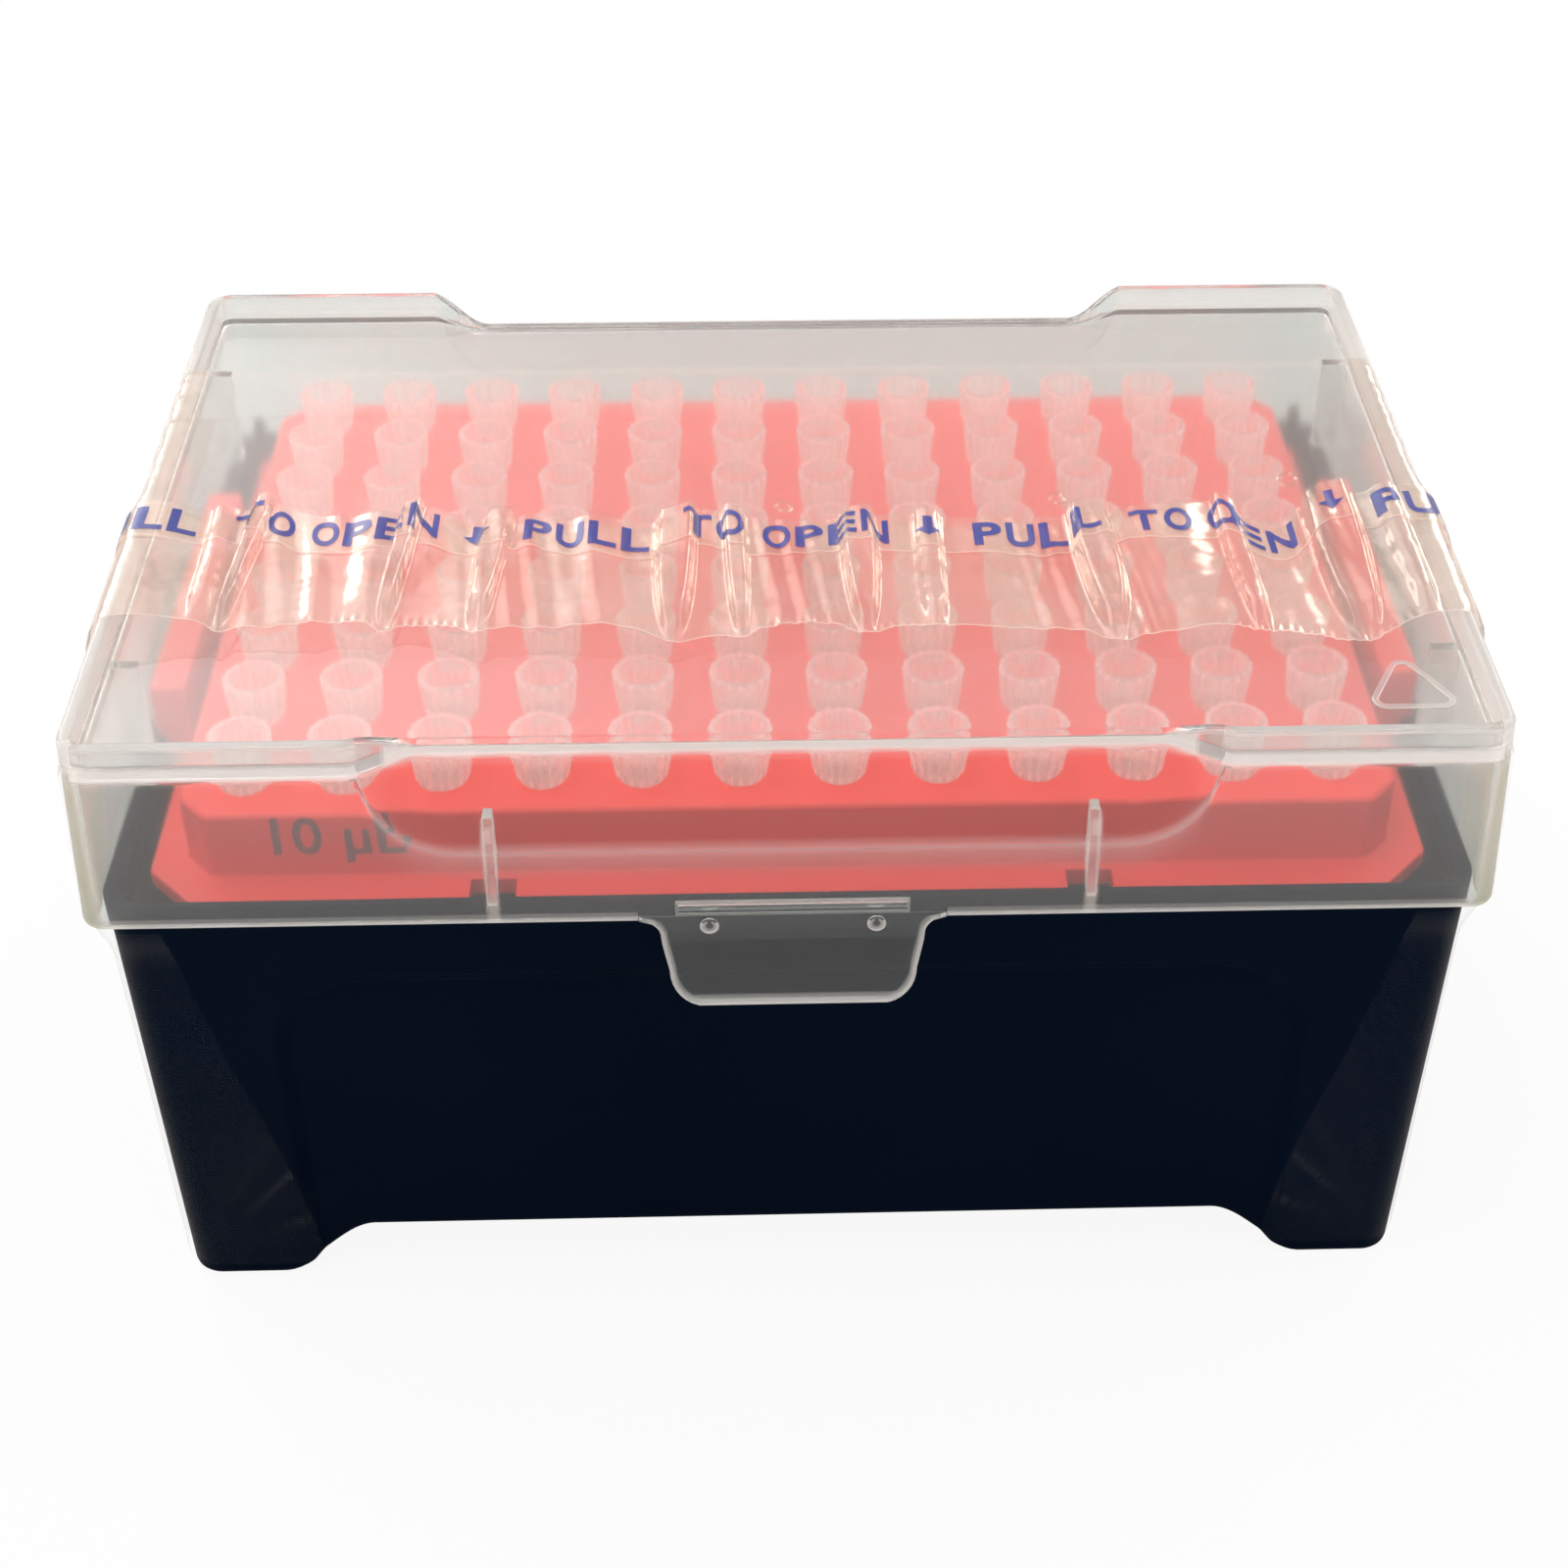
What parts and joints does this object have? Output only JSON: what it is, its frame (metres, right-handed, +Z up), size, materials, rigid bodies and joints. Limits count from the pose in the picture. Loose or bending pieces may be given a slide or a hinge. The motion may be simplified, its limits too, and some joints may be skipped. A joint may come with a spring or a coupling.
{
  "type": "pipette tip box",
  "caption": "Hinged laboratory box: a dark tub with arched feet holds a red rack of hollow pipette tips under a milky clear lid with a latch tab and a seal film.",
  "frame": {"origin": "centre of the rectangle round the box, on the surface that its feet stand on", "axes": "+X along the long side to the right as seen from the latch, -Y towards the latch tab, +Z up"},
  "size_m": [0.1284, 0.0916, 0.0682],
  "materials": {
    "base_plastic": "moulded polypropylene, dark navy, satin",
    "rack_plastic": "moulded polypropylene, coral red, satin",
    "lid_plastic": "natural milky clear polypropylene",
    "tip_plastic": "natural clear polypropylene",
    "film": "clear shrink film with blue print"
  },
  "bodies": {
    "box": {"base": "base_plastic", "rack": "rack_plastic", "tips_column_01": "tip_plastic", "tips_column_02": "tip_plastic", "tips_column_03": "tip_plastic", "tips_column_04": "tip_plastic", "tips_column_05": "tip_plastic", "tips_column_06": "tip_plastic", "tips_column_07": "tip_plastic", "tips_column_08": "tip_plastic", "tips_column_09": "tip_plastic", "tips_column_10": "tip_plastic", "tips_column_11": "tip_plastic", "tips_column_12": "tip_plastic"},
    "lid": {"lid": "lid_plastic", "seal_film": "film"}
  },
  "joints": [
    {"name": "lid_hinge", "type": "hinge", "parent": "box", "child": "lid", "pos_m": [0, 0.0436, 0.0446], "axis": [-1, 0, 0], "range_deg": [0, 105]}
  ]
}
